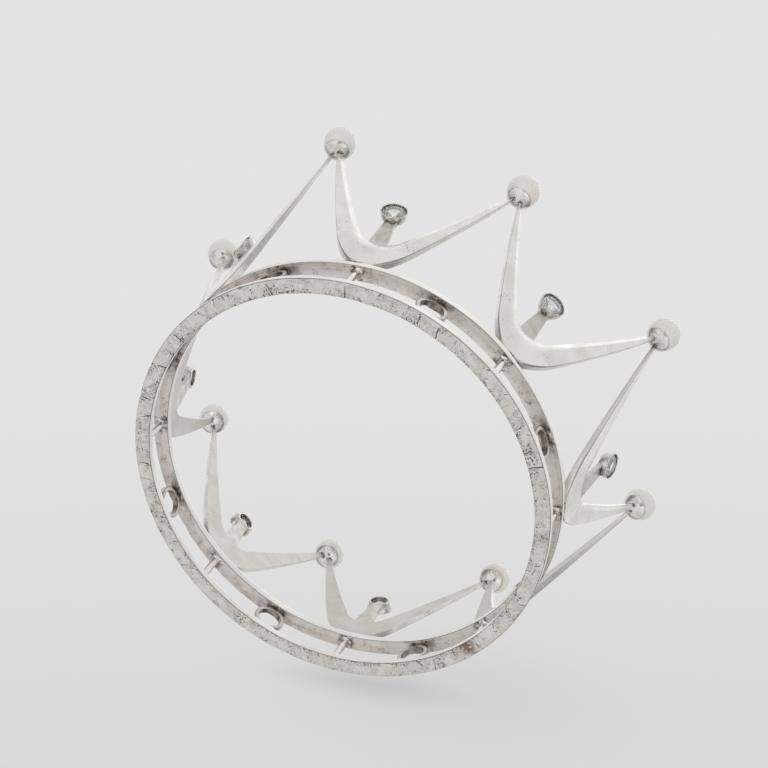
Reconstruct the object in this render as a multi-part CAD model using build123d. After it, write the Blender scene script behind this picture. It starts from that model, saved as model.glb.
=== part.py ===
"""Silver bridal crown: two hoops, eight V gables with crystals, eight pearls on the points.

Millimetres, +Z up. The origin is the middle of the lower hoop's bottom face and Z is the
crown's axis, so the crown stands on its lower hoop. Gable 1 faces +X and the units are
numbered counterclockwise from there. Pearl 1 is between gables 1 and 2.
"""
from build123d import *
import math
import os

UNITS = 8
STEP_ANGLE = 360 / UNITS

# Hoops: two flat silver rings, one above the other
HOOP_R = 50.0
HOOP_WIDTH = 3.6
HOOP_THICK = 2.0
HOOP_EDGE = 0.3
HOOP_GAP = 7.4
HOOP_MID_R = HOOP_R - HOOP_WIDTH / 2
GAP_MID_Z = HOOP_THICK + HOOP_GAP / 2
BAND_TOP = 2 * HOOP_THICK + HOOP_GAP

# Between the hoops: a round post under each gable, a tube eyelet under each pearl
POST_R = 0.9
EYELET_R = HOOP_GAP / 2
EYELET_WALL = 1.0
EYELET_LENGTH = 1.5
EYELET_EDGE = 0.2

# Pearls, in cups on the points. The points were bent by hand, so each one has its own
# distance from the axis, and some stand a little to one side.
PEARL_R = 3.9
PEARL_Z = 57.6
PEARL_AXIS_R = (62.5, 62.5, 59.3, 62.5, 58.0, 63.4, 61.5, 57.5)
PEARL_TURN = (0.0, -0.6, 0.4, 0.0, 0.0, 0.0, -1.4, 0.0)
CUP_WALL = 0.3
CUP_R = PEARL_R + CUP_WALL
CUP_RIM_ANGLE = 48
CUP_LEAN = 21
PEG_R = 0.45
PEG_DEPTH = 4.0

# Gables: flat inside, faceted outside, standing on the upper hoop and leaning outward
GABLE_BASE_R = 48.0
GABLE_INSET = 0.7
GABLE_THICK = 2.3
HALF_SPAN = 24.0
SPAN_HEIGHT = 46.5

# Right half of the gable's outline, across and up from the middle of its foot
FOOT = (2.5, 0.0)
HEEL = (6.2, 3.9)
HIP = (9.7, 10.0)
OUTER_MID = (17.2, 27.3)
OUTER_TIP = (23.4, 43.6)
INNER_TIP = (22.2, 43.8)
INNER_MID = (13.9, 27.5)
ARMPIT = (5.5, 13.0)
CROTCH_SIDE = (3.3, 10.2)
CROTCH = (0.0, 9.2)

# Wide facet of each arm's outside, a plane through three points: across, up, thickness
WIDE_FACET = ((23.2, 42.5, 0.80), (9.7, 10.0, 1.60), (0.0, 9.2, 2.60))

# Narrow facet along the inside of the V: what is left of the edge's thickness under it at the
# crotch and at the tips, and the angle between the facet and the edge's own face
BEVEL_CROTCH = 1.5
BEVEL_TIP = 0.5
BEVEL_ANGLE = 71
BEVEL_HEIGHT = 2.0
BEVEL_FLATS = 3
OPENING_TOP = 56.0

# Stem and collet on each gable. Some of the stems lean to one side.
STEM_THICK = 1.2
STEM_FOOT_HALF = 2.4
STEM_TOP_HALF = 1.0
STEM_FOOT_H = 8.0
STEM_LEAN = (0.9, 0.0, 0.0, 0.3, -1.1, 0.4, -1.2, 0.0)
COLLET_H = 22.25
COLLET_DEPTH = 2.6
COLLET_BACK_R = 2.5
COLLET_MID_R = 3.0
COLLET_RIM_R = 3.15
COLLET_BACK_BORE = 2.0
COLLET_RIM_BORE = 2.85
CLAWS = 12
NOTCH_R = 0.3

# Stone: a round faceted rock crystal
STONE_SIDES = 12
GIRDLE_R = 2.7
GIRDLE_THICK = 0.2
TABLE_R = 1.6
TABLE_RISE = 0.6
CULET_R = 0.35
PAVILION_DEPTH = 1.6
STONE_SEAT = 1.9

# How boxes, cylinders and cones sit on their own origin
ON_BASE = (Align.CENTER, Align.CENTER, Align.MIN)
UNDER_TOP = (Align.CENTER, Align.CENTER, Align.MAX)
CUTTER = 300
CUTTER_DEPTH = 20


def polar(radius, angle, z):
    """Point at a distance and angle in degrees around the crown's axis."""
    a = math.radians(angle)
    return Vector(radius * math.cos(a), radius * math.sin(a), z)


def unit_angle(i):
    return i * STEP_ANGLE


def pearl_centre(i):
    i = i % UNITS
    return polar(PEARL_AXIS_R[i], (i + 0.5) * STEP_ANGLE + PEARL_TURN[i], PEARL_Z)


def radial_plane(radius, angle, z):
    """Plane facing outward: X counterclockwise along the hoop, Y up."""
    a = math.radians(angle)
    return Plane(
        origin=polar(radius, angle, z),
        x_dir=(-math.sin(a), math.cos(a), 0),
        z_dir=(math.cos(a), math.sin(a), 0),
    )


def hoop(z):
    ring = Cylinder(HOOP_R, HOOP_THICK, align=ON_BASE)
    ring -= Cylinder(HOOP_R - HOOP_WIDTH, HOOP_THICK, align=ON_BASE)
    ring = fillet(ring.edges().filter_by(GeomType.CIRCLE), HOOP_EDGE)
    return Pos(0, 0, z) * ring


def post(i):
    centre = polar(HOOP_MID_R, unit_angle(i), GAP_MID_Z)
    return Pos(*centre) * Cylinder(POST_R, HOOP_GAP)


def eyelet(i):
    tube = Cylinder(EYELET_R, EYELET_LENGTH) - Cylinder(EYELET_R - EYELET_WALL, EYELET_LENGTH)
    tube = fillet(tube.edges().filter_by(GeomType.CIRCLE), EYELET_EDGE)
    return radial_plane(HOOP_MID_R, unit_angle(i + 0.5), GAP_MID_Z).location * tube


def cup_location(i):
    """Middle of the pearl, with Z leaning outward from the crown's axis."""
    lean = math.radians(CUP_LEAN)
    upright = polar(math.sin(lean), unit_angle(i + 0.5) + PEARL_TURN[i], math.cos(lean))
    return Plane(origin=pearl_centre(i), z_dir=upright).location


def peg_local():
    """Pin from the bottom of the cup up into the pearl, whose middle is the origin."""
    return Pos(0, 0, -PEARL_R) * Cylinder(PEG_R, PEG_DEPTH, align=ON_BASE)


def pearl_local():
    """Pearl, drilled from below for its pin."""
    return Sphere(PEARL_R) - peg_local()


def cup_local():
    """Spherical cap that holds the underside of the pearl."""
    rim_drop = PEARL_R * math.cos(math.radians(CUP_RIM_ANGLE))
    keep = Box(4 * CUP_R, 4 * CUP_R, 2 * CUP_R, align=UNDER_TOP)
    return (Sphere(CUP_R) - Sphere(PEARL_R)) & Pos(0, 0, -rim_drop) * keep


def gable_frame(i):
    """Plane of the gable's flat inside, with the reach of its two arms and their height."""
    angle = unit_angle(i)
    base = polar(GABLE_BASE_R, angle, BAND_TOP)
    inset = polar(GABLE_INSET, angle, 0)
    left = pearl_centre(i - 1) - inset
    right = pearl_centre(i) - inset
    across = (right - left).normalized()
    rise = (left + right) * 0.5 - base
    up = (rise - across * rise.dot(across)).normalized()
    plane = Plane(origin=base, x_dir=across, z_dir=across.cross(up))
    return plane, (left - base).dot(across), (right - base).dot(across), (right - base).dot(up)


def scaled(point, reach, height):
    """Outline point of the standard half gable, fitted to one arm's own reach and height."""
    return (point[0] * reach / HALF_SPAN, point[1] * height / SPAN_HEIGHT)


def half_outline(reach, height):
    def p(point):
        return scaled(point, reach, height)

    return [
        Line(p((0, 0)), p(FOOT)),
        ThreePointArc(p(FOOT), p(HEEL), p(HIP)),
        ThreePointArc(p(HIP), p(OUTER_MID), p(OUTER_TIP)),
        Line(p(OUTER_TIP), p(INNER_TIP)),
        ThreePointArc(p(INNER_TIP), p(INNER_MID), p(ARMPIT)),
        ThreePointArc(p(ARMPIT), p(CROTCH_SIDE), p(CROTCH)),
    ]


def facet_cutter(reach, height):
    """Everything outside the wide facet, on that arm's side of the gable only."""
    a, b, c = (Vector(*scaled(q, reach, height), q[2]) for q in WIDE_FACET)
    normal = (b - a).cross(c - a).normalized()
    if normal.Z < 0:
        normal = normal * -1
    outside = Plane(origin=a, z_dir=normal).location * Box(CUTTER, CUTTER, CUTTER_DEPTH, align=ON_BASE)
    side = Align.MIN if reach > 0 else Align.MAX
    return outside & Box(CUTTER, CUTTER, CUTTER, align=(side, Align.CENTER, Align.CENTER))


def bevel_cutter(left, right, height):
    """The opening of the V, spreading outward over the inner edges so it cuts the narrow facets."""
    fall = (BEVEL_CROTCH - BEVEL_TIP) / (SPAN_HEIGHT - CROTCH[1])
    start = BEVEL_CROTCH + fall * CROTCH[1]
    tilted = Plane(origin=(0, 0, start), x_dir=(1, 0, 0), z_dir=(0, fall, 1))
    rims = []
    for reach in (left, right):
        arm, corner = half_outline(reach, height)[-2:]
        tip = scaled(INNER_TIP, reach, height)
        rim = [(tip[0], OPENING_TOP)]
        for curve in (arm, corner):
            rim += [curve @ (k / BEVEL_FLATS) for k in range(BEVEL_FLATS)]
        rims.append(rim)
    opening = Polyline(*rims[0], scaled(CROTCH, right, height), *reversed(rims[1]), close=True)
    return tilted.location * extrude(make_face(opening), BEVEL_HEIGHT, taper=-BEVEL_ANGLE)


def outline_prism(left, right, height):
    edges = half_outline(right, height) + half_outline(left, height)
    return extrude(make_face(Curve() + edges), GABLE_THICK)


def gable_blank(left, right, height):
    """Gable in its own plane, before it is fitted to the hoop and the cups."""
    blank = outline_prism(left, right, height)
    for reach in (left, right):
        blank -= facet_cutter(reach, height)
    return blank - bevel_cutter(left, right, height)


def gable(i):
    plane, left, right, height = gable_frame(i)
    body = plane.location * gable_blank(left, right, height)
    body -= Pos(0, 0, BAND_TOP) * Box(CUTTER, CUTTER, CUTTER_DEPTH, align=UNDER_TOP)
    for tip in (i - 1, i):
        body -= Pos(*pearl_centre(tip)) * Sphere(CUP_R)
    return body


def collet_axis(i):
    """Plane at the back of the collet, facing out through its rim."""
    plane = gable_frame(i)[0]
    origin = plane.from_local_coords((STEM_LEAN[i], COLLET_H, 0))
    return Plane(origin=origin, x_dir=plane.x_dir, z_dir=plane.z_dir)


def collet_blank():
    """Solid bowl, narrow at the back and bulging toward its rim."""
    half = make_face(
        Polyline((COLLET_BACK_R, 0), (0, 0), (0, COLLET_DEPTH), (COLLET_RIM_R, COLLET_DEPTH))
        + ThreePointArc(
            (COLLET_RIM_R, COLLET_DEPTH), (COLLET_MID_R, COLLET_DEPTH / 2), (COLLET_BACK_R, 0)
        )
    )
    return revolve(Plane.XZ.location * half, Axis.Z)


def collet_local():
    """Open-backed bowl with a scalloped rim, its back at the origin."""
    cup = collet_blank() - Cone(COLLET_BACK_BORE, COLLET_RIM_BORE, COLLET_DEPTH, align=ON_BASE)
    cup -= stone_local()
    for n in range(CLAWS):
        notch = Pos(0, 0, COLLET_DEPTH) * Rot(0, 90, 0) * Cylinder(NOTCH_R, 2 * COLLET_RIM_R, align=ON_BASE)
        cup -= Rot(0, 0, n * 360 / CLAWS) * notch
    return cup


def stone_local():
    """Round faceted stone, with its girdle at the height of its seat in the collet."""
    half = GIRDLE_THICK / 2
    levels = (
        (-PAVILION_DEPTH, CULET_R),
        (-half, GIRDLE_R),
        (half, GIRDLE_R),
        (half + TABLE_RISE, TABLE_R),
    )
    rings = [Pos(0, 0, STONE_SEAT + z) * RegularPolygon(r, STONE_SIDES) for z, r in levels]
    layers = [loft([lower, upper], ruled=True) for lower, upper in zip(rings, rings[1:])]
    return layers[0] + layers[1] + layers[2]


def stem(i):
    """Flat tapered plate from the crotch of the gable to the underside of the collet."""
    plane, left, right, height = gable_frame(i)
    lean = STEM_LEAN[i]
    outline = Polyline(
        (-STEM_FOOT_HALF, STEM_FOOT_H),
        (STEM_FOOT_HALF, STEM_FOOT_H),
        (lean + STEM_TOP_HALF, COLLET_H),
        (lean - STEM_TOP_HALF, COLLET_H),
        close=True,
    )
    plate = extrude(make_face(outline), STEM_THICK) - outline_prism(left, right, height)
    plate -= Pos(lean, COLLET_H, 0) * collet_blank()
    return plane.location * plate


def write(name, shape):
    shape.label = name
    export_step(shape, f"parts/{name}.step")


def main():
    os.makedirs("parts", exist_ok=True)
    write("lower_hoop", hoop(0))
    write("upper_hoop", hoop(HOOP_THICK + HOOP_GAP))
    write("spacer_posts", Compound(children=[post(i) for i in range(UNITS)]))
    write("pearl_pegs", Compound(children=[cup_location(i) * peg_local() for i in range(UNITS)]))
    collet = collet_local()
    stone = stone_local()
    cup = cup_local()
    pearl = pearl_local()
    for i in range(UNITS):
        n = i + 1
        seat = collet_axis(i).location
        point = cup_location(i)
        write(f"eyelet_{n}", eyelet(i))
        write(f"gable_{n}", gable(i))
        write(f"stem_{n}", stem(i))
        write(f"collet_{n}", seat * collet)
        write(f"stone_{n}", seat * stone)
        write(f"pearl_cup_{n}", point * cup)
        write(f"pearl_{n}", point * pearl)


main()
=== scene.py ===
"""Looks of the silver bridal crown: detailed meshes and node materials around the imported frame."""
import math
import random
from functools import reduce

import bmesh
import bpy
from mathutils import Matrix, Vector, noise


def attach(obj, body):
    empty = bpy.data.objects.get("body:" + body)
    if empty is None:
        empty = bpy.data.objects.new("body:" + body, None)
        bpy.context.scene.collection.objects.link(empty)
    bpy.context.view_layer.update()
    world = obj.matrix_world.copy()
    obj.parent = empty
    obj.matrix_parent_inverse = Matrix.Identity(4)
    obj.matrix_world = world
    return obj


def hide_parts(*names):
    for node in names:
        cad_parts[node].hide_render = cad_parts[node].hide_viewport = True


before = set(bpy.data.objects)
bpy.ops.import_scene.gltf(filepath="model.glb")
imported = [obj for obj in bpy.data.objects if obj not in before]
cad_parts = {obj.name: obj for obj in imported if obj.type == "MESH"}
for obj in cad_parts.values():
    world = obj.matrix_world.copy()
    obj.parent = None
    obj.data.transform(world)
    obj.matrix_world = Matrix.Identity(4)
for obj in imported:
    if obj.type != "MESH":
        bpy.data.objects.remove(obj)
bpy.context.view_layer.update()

# Sizes in mm, the same as the CAD's. Meshes are built in mm and written in metres.
MM = 0.001
UNITS = 8
STEP = 45.0
HOOP_R = 50.0
HOOP_WIDTH = 3.6
HOOP_THICK = 2.0
HOOP_GAP = 7.4
HOOP_MID_R = 48.2
GAP_MID_Z = 5.7
BAND_TOP = 11.4
POST_R = 0.9
EYELET_R = 3.7
EYELET_WALL = 1.0
EYELET_LENGTH = 1.5
PEARL_R = 3.9
PEARL_INSET = 0.02
PEARL_Z = 57.6
PEARL_AXIS_R = (62.5, 62.5, 59.3, 62.5, 58.0, 63.4, 61.5, 57.5)
PEARL_TURN = (0.0, -0.6, 0.4, 0.0, 0.0, 0.0, -1.4, 0.0)
CUP_R = 4.2
CUP_RIM_ANGLE = 48
CUP_LEAN = 21
GABLE_BASE_R = 48.0
GABLE_INSET = 0.7
GABLE_THICK = 2.3
HALF_SPAN = 24.0
SPAN_HEIGHT = 46.5
FOOT = (2.5, 0.0)
HEEL = (6.2, 3.9)
HIP = (9.7, 10.0)
OUTER_MID = (17.2, 27.3)
OUTER_TIP = (23.4, 43.6)
INNER_TIP = (22.2, 43.8)
INNER_MID = (13.9, 27.5)
ARMPIT = (5.5, 13.0)
CROTCH_SIDE = (3.3, 10.2)
CROTCH = (0.0, 9.2)
WIDE_FACET = ((23.2, 42.5, 0.80), (9.7, 10.0, 1.60), (0.0, 9.2, 2.60))
BEVEL_CROTCH = 1.5
BEVEL_TIP = 0.5
BEVEL_SLOPE = 1 / math.tan(math.radians(71))
BEVEL_FALL = (BEVEL_CROTCH - BEVEL_TIP) / (SPAN_HEIGHT - CROTCH[1])
STEM_THICK = 1.2
STEM_FOOT_HALF = 2.4
STEM_TOP_HALF = 1.0
STEM_FOOT_H = 8.0
STEM_LEAN = (0.9, 0.0, 0.0, 0.3, -1.1, 0.4, -1.2, 0.0)
COLLET_H = 22.25
COLLET_DEPTH = 2.6
COLLET_BACK_R = 2.5
COLLET_RIM_R = 3.15
COLLET_BACK_BORE = 2.0
COLLET_RIM_BORE = 2.85
CLAWS = 12
GIRDLE_R = 2.68
STONE_SEAT = 1.95

# The unit whose pearl has yellowed glue round its foot
GLUED_UNIT = 7
# Where a brown stain is burnt into the lower hoop's bottom face
STAIN_AT = (34.1, -32.9, 0.0)

# The table on which the photographed crown lies: its normal away from the crown, and its distance,
# 1.8 mm clear of the hoop so that the painted corner shade doesn't reach it
TABLE_NORMAL = Vector((0.983, -0.099, -0.155)).normalized()
TABLE_AT = 0.0512


# -------- shapes

def new_object(name, data):
    made = bpy.data.objects.new(name, data)
    bpy.context.scene.collection.objects.link(made)
    return made


def around(radius, z, turn):
    """Point at that turn about Z, in radians."""
    return Vector((radius * math.cos(turn), radius * math.sin(turn), z))


def polar(radius, angle, z):
    """Point at that angle about Z, in degrees."""
    return around(radius, z, math.radians(angle))


def pearl_centre(i):
    i = i % UNITS
    return polar(PEARL_AXIS_R[i], (i + 0.5) * STEP + PEARL_TURN[i], PEARL_Z)


def wave(point, size, amount, seed=0.0):
    """Smooth random height, from -amount to amount, that changes over about size mm."""
    return noise.noise(Vector(point) / size + Vector((seed, 3.1 * seed, -seed))) * amount


def arc_points(a, b, c, count):
    """Points on the circle through a, b and c, from a to c."""
    ax, ay = a
    bx, by = b
    cx, cy = c
    d = 2 * (ax * (by - cy) + bx * (cy - ay) + cx * (ay - by))
    sa, sb, sc = ax * ax + ay * ay, bx * bx + by * by, cx * cx + cy * cy
    ux = (sa * (by - cy) + sb * (cy - ay) + sc * (ay - by)) / d
    uy = (sa * (cx - bx) + sb * (ax - cx) + sc * (bx - ax)) / d
    radius = math.hypot(ax - ux, ay - uy)
    start = math.atan2(ay - uy, ax - ux)
    middle = (math.atan2(by - uy, bx - ux) - start) % math.tau
    sweep = (math.atan2(cy - uy, cx - ux) - start) % math.tau
    if middle > sweep:
        sweep -= math.tau
    turns = [start + sweep * k / (count - 1) for k in range(count)]
    return [(ux + radius * math.cos(t), uy + radius * math.sin(t)) for t in turns]


def resample(points, count):
    """Points evenly spaced along a polyline."""
    runs = [0.0]
    for p, q in zip(points, points[1:]):
        runs.append(runs[-1] + math.dist(p, q))
    out = []
    k = 0
    for n in range(count):
        at = runs[-1] * n / (count - 1)
        while k < len(runs) - 2 and runs[k + 1] < at:
            k += 1
        share = (at - runs[k]) / max(runs[k + 1] - runs[k], 1e-9)
        out.append(tuple(u + (v - u) * share for u, v in zip(points[k], points[k + 1])))
    return out


def relaxed(points, rounds):
    """The same polyline with its corners eased and its ends kept."""
    for _ in range(rounds):
        middle = [
            tuple((u + 2 * v + w) / 4 for u, v, w in zip(*three))
            for three in zip(points, points[1:], points[2:])
        ]
        points = [points[0], *middle, points[-1]]
    return points


def rounded_outline(x0, x1, y0, y1, r, across, up, steps=4):
    """Closed outline of a rectangle with rounded corners, its sides divided."""
    starts = ((x0 + r, y0), (x1, y0 + r), (x1 - r, y1), (x0, y1 - r))
    ends = ((x1 - r, y0), (x1, y1 - r), (x0 + r, y1), (x0, y0 + r))
    centres = ((x1 - r, y0 + r), (x1 - r, y1 - r), (x0 + r, y1 - r), (x0 + r, y0 + r))
    out = []
    for n, (a, b, (cx, cy)) in enumerate(zip(starts, ends, centres)):
        count = (across, up)[n % 2]
        out.extend(tuple(u + (v - u) * k / count for u, v in zip(a, b)) for k in range(count))
        turns = [math.radians(90 * (n - 1) + 90 * k / steps) for k in range(steps)]
        out.extend((cx + r * math.cos(t), cy + r * math.sin(t)) for t in turns)
    return out


def ball_rows(rings, segments):
    """Rows of directions over a ball, from one pole to the other, without the poles."""
    for j in range(1, rings):
        tilt = math.pi * j / rings
        turns = [math.tau * k / segments for k in range(segments)]
        wide, high = math.sin(tilt), math.cos(tilt)
        yield [around(wide, high, a) for a in turns]


class Shape:
    """Vertices and faces of one piece, in mm, built up from lofts."""

    def __init__(self):
        self.points, self.faces, self.soot = [], [], []

    def loft(self, sections, closed=False, soot=0.0):
        """Joins neighbouring sections. A closed loft joins the last to the first; others get caps."""
        base, n = len(self.points), len(sections[0])
        for section in sections:
            self.points.extend(section)
            self.soot.extend([soot] * n)
        count = len(sections)
        for i in range(count if closed else count - 1):
            a, b = base + i * n, base + (i + 1) % count * n
            for k in range(n):
                m = (k + 1) % n
                self.faces.append((a + k, a + m, b + m, b + k))
        if not closed:
            self.faces.append(tuple(range(base, base + n)))
            self.faces.append(tuple(range(base + (count - 1) * n, base + count * n)))

    def lathe(self, profile, segments, change):
        """Turns (radius, height) points about Z, each moved by change(radius, height, turn)."""
        sections = []
        for s in range(segments):
            turn = math.tau * s / segments
            sections.append([around(*change(r, h, turn), turn) for r, h in profile])
        self.loft(sections, closed=True)

    def lump(self, centre, size, squash, seed, up=Vector((0, 0, 1))):
        """Small uneven bead, such as a lump of solder."""
        turn = Vector((0, 0, 1)).rotation_difference(up)
        sections = []
        for directions in ball_rows(10, 16):
            row = []
            for d in directions:
                r = size * (1 + wave(d, 0.8, 0.22, seed))
                row.append(Vector(centre) + turn @ Vector((d.x * r, d.y * r, d.z * r * squash)))
            sections.append(row)
        self.loft(sections, soot=1.0)

    def place(self, name, material, matrix=None, sharp=38, body="root"):
        """The finished piece, riding on its body, with its own axes at matrix."""
        mesh = bpy.data.meshes.new(name)
        mesh.from_pydata([Vector(p) * MM for p in self.points], [], self.faces)
        b = bmesh.new()
        b.from_mesh(mesh)
        bmesh.ops.recalc_face_normals(b, faces=b.faces)
        b.to_mesh(mesh)
        b.free()
        mesh.attributes.new("soot", "FLOAT", "POINT").data.foreach_set("value", self.soot)
        mesh.shade_smooth()
        mesh.set_sharp_from_angle(angle=math.radians(sharp))
        mesh.materials.append(material)
        piece = new_object(name, mesh)
        if matrix is not None:
            piece.matrix_world = matrix
        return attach(piece, body)


def axes_at(origin, x, y, z, unit=MM):
    """World matrix of a piece whose own axes are these, and its origin this many units."""
    matrix = Matrix((x, y, z)).transposed().to_4x4()
    matrix.translation = Vector(origin) * unit
    return matrix


def radial_axes(radius, angle, z):
    out = polar(1, angle, 0)
    return axes_at(polar(radius, angle, z), (-out.y, out.x, 0), (0, 0, 1), out)


def cup_axes(i):
    """World matrix of a pearl and its cup, whose Z leans outward from the crown's axis."""
    lean = math.radians(CUP_LEAN)
    z = polar(math.sin(lean), (i + 0.5) * STEP + PEARL_TURN[i], math.cos(lean))
    x = Vector((1, 0, 0))
    x = (x - z * x.dot(z)).normalized()
    return axes_at(pearl_centre(i), x, z.cross(x), z)


def gable_axes(i):
    """(origin, across, up, outward, left reach, right reach, height) of one gable."""
    angle = i * STEP
    base = polar(GABLE_BASE_R, angle, BAND_TOP)
    inset = polar(GABLE_INSET, angle, 0)
    left, right = pearl_centre(i - 1) - inset, pearl_centre(i) - inset
    across = (right - left).normalized()
    rise = (left + right) / 2 - base
    up = (rise - across * rise.dot(across)).normalized()
    reaches = (left - base).dot(across), (right - base).dot(across), (right - base).dot(up)
    return (base, across, up, across.cross(up), *reaches)


# -------- materials

class Tree:
    """Short calls that add shader nodes and give back their outputs. Lengths are in mm."""

    def __init__(self, tree):
        self.tree = tree

    def node(self, kind, inputs=None, **settings):
        made = self.tree.nodes.new("ShaderNode" + kind)
        for key, value in settings.items():
            setattr(made, key, value)
        for key, value in (inputs or {}).items():
            if isinstance(value, bpy.types.NodeSocket):
                self.tree.links.new(value, made.inputs[key])
            else:
                made.inputs[key].default_value = value
        return made

    def math(self, operation, *values, clamp=False):
        inputs = dict(enumerate(values))
        return self.node("Math", inputs, operation=operation, use_clamp=clamp).outputs[0]

    def times(self, a, b):
        return self.math("MULTIPLY", a, b)

    def minus(self, a, b):
        return self.math("SUBTRACT", a, b)

    def plus(self, a, b, clamp=False):
        return self.math("ADD", a, b, clamp=clamp)

    def vector(self, operation, *values):
        made = self.node("VectorMath", dict(enumerate(values)), operation=operation)
        return made.outputs[1 if operation in ("DOT_PRODUCT", "LENGTH", "DISTANCE") else 0]

    def local(self):
        """Place on the piece along its own axes, in mm."""
        return self.vector("MULTIPLY", self.node("TexCoord").outputs["Object"], (1000, 1000, 1000))

    def world(self):
        """Place in the part's frame, in mm."""
        return self.vector("MULTIPLY", self.node("NewGeometry").outputs["Position"], (1000, 1000, 1000))

    def parts(self, vector):
        return self.node("SeparateXYZ", {0: vector}).outputs

    def join(self, x, y, z):
        return self.node("CombineXYZ", {0: x, 1: y, 2: z}).outputs[0]

    def noise(self, where, size, detail=3.0, rough=0.55, warp=0.0):
        shape = {"Scale": 1 / size, "Detail": detail, "Roughness": rough, "Distortion": warp}
        return self.node("TexNoise", {"Vector": where, **shape}).outputs[0]

    def cells(self, where, size, **settings):
        """(outputs of a cell pattern, three random numbers that each cell has)"""
        cell = self.node("TexVoronoi", {"Vector": where, "Scale": 1 / size}, **settings).outputs
        return cell, self.node("SeparateColor", {0: cell["Color"]}).outputs

    def ramp(self, value, low, high, to_low=0.0, to_high=1.0):
        inputs = {0: value, 1: low, 2: high, 3: to_low, 4: to_high}
        return self.node("MapRange", inputs, interpolation_type="SMOOTHSTEP").outputs[0]

    def mix(self, factor, a, b):
        return self.node("Mix", {0: factor, 6: a, 7: b}, data_type="RGBA").outputs[2]

    def fall(self, value, low, high):
        """1 below low and 0 above high."""
        return self.ramp(value, low, high, 1.0, 0.0)

    def band(self, value, start, full, last, end):
        """1 from full to last, and 0 before start and after end."""
        return self.both(self.ramp(value, start, full), self.fall(value, last, end))

    def tint(self, colour, mask, share, tone):
        """The colour, turned toward the tone by that share where the mask is 1."""
        return self.mix(self.times(mask, share), colour, tone)

    def grey(self, value):
        return self.node("CombineColor", {0: value, 1: value, 2: value}).outputs[0]

    def blend(self, factor, a, b):
        return self.node("Mix", {0: factor, 2: a, 3: b}, data_type="FLOAT").outputs[0]

    def any(self, *masks):
        return reduce(lambda a, b: self.math("MAXIMUM", a, b), masks)

    def both(self, *masks):
        return reduce(self.times, masks)

    def turned(self, vector, angle):
        """The vector turned about Z."""
        return self.node("VectorRotate", {0: vector, "Angle": angle}, rotation_type="Z_AXIS").outputs[0]

    def scratches(self, where, turns, length, width, share):
        """Thin straight marks in a few directions, as a mask."""
        out = []
        for turn in turns:
            turned = self.turned(where, math.radians(turn))
            stretched = self.vector("MULTIPLY", turned, (1 / length, 1 / width, 0.3))
            out.append(self.ramp(self.noise(stretched, 1.0, 2.0, 0.5, 0.15), share, share + 0.05))
        return self.any(*out)

    def pits(self, where, size, radius, share):
        """Round dark pits: a share of the cells of that size hold one."""
        cell, picked = self.cells(where, size)
        spot = self.times(picked[1], radius / size)
        inside = self.math("LESS_THAN", cell["Distance"], spot)
        return self.both(inside, self.math("LESS_THAN", picked[0], share))

    def hairs(self, where, size, share, warp):
        """Fine curly dark lines that come and go."""
        line = self.math("ABSOLUTE", self.minus(self.noise(where, size, 3.0, 0.6, warp), 0.5))
        elsewhere = self.vector("ADD", where, (41.0, 17.0, 5.0))
        here = self.ramp(self.noise(elsewhere, size * 1.6, 2.0), share, share + 0.06)
        return self.both(self.fall(line, 0.0, 0.012), here)

    def cuts(self, where, size, length, width, share, spread=0.9):
        """Short straight cuts, one in a share of the cells of that size, mostly along Y."""
        cell, picked = self.cells(where, size, voronoi_dimensions="2D")
        turn = self.times(self.minus(picked[1], 0.5), 2 * spread)
        offset = self.vector("SUBTRACT", where, cell["Position"])
        aside, along, _ = self.parts(self.turned(offset, turn))
        narrow = self.fall(self.math("ABSOLUTE", aside), 0.35 * width, 0.6 * width)
        reach = self.times(picked[2], length / 2)
        short = self.math("LESS_THAN", self.math("ABSOLUTE", along), reach)
        return self.both(narrow, short, self.math("LESS_THAN", picked[0], share))

    def crevice_shade(self, reach):
        """Painted shade and tarnish in the corners between pieces: 1 there, 0 in the open."""
        open_share = self.node("AmbientOcclusion", {"Distance": reach * MM}, samples=8).outputs["AO"]
        return self.fall(open_share, 0.45, 0.85)


def material(name, **sockets):
    """(material, its Tree, its Principled shader), with sockets that are the same all over."""
    made = bpy.data.materials.new(name)
    made.use_nodes = True
    shader = made.node_tree.nodes["Principled BSDF"]
    for key, value in sockets.items():
        shader.inputs[key.replace("_", " ")].default_value = value
    return made, Tree(made.node_tree), shader


def finish_surface(tree, shader, colour, rough, height, depth):
    """Links colour and roughness, and a bump whose full height is depth mm."""
    bump = tree.node("Bump", {"Height": height, "Distance": depth * MM, "Strength": 1.0})
    for key, value in (("Base Color", colour), ("Roughness", rough), ("Normal", bump.outputs[0])):
        tree.tree.links.new(value, shader.inputs[key])


SIDE_SILVER = (0.84, 0.825, 0.805, 1)
WARM_SILVER = (0.80, 0.765, 0.73, 1)
WORN_GREY = (0.76, 0.73, 0.70, 1)
WORN_BRIGHT = (0.905, 0.885, 0.86, 1)
SCRATCH_GREY = (0.45, 0.41, 0.385, 1)
STAIN_BROWN = (0.25, 0.16, 0.10, 1)
CUT_BROWN = (0.10, 0.070, 0.058, 1)
# Brown for painted shade along rounded edges and in corners, where tarnish also gathers
SHADE_AND_TARNISH = (0.36, 0.30, 0.265, 1)
# Near-black for painted shade and oxide in the small parts' corners
SHADE_AND_OXIDE = (0.12, 0.095, 0.08, 1)
SOOT = (0.13, 0.098, 0.08, 1)


def along_hoop(tree, where):
    """(vector along the hoop, across and up; angle in mm along it; radius)"""
    x, y, z = tree.parts(where)
    angle = tree.math("ARCTAN2", y, x)
    run = tree.times(angle, HOOP_MID_R)
    flat = tree.join(x, y, 0.0)
    radius = tree.vector("LENGTH", flat)
    return tree.join(run, radius, z), run, radius


def near_units(tree, run, offset):
    """Distance in mm along the hoop to the nearest of eight places, one in each unit."""
    pitch = math.tau * HOOP_MID_R / UNITS
    shifted = tree.plus(run, pitch * (UNITS + 0.5 - offset))
    return tree.math("ABSOLUTE", tree.minus(tree.math("MODULO", shifted, pitch), pitch / 2))


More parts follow.
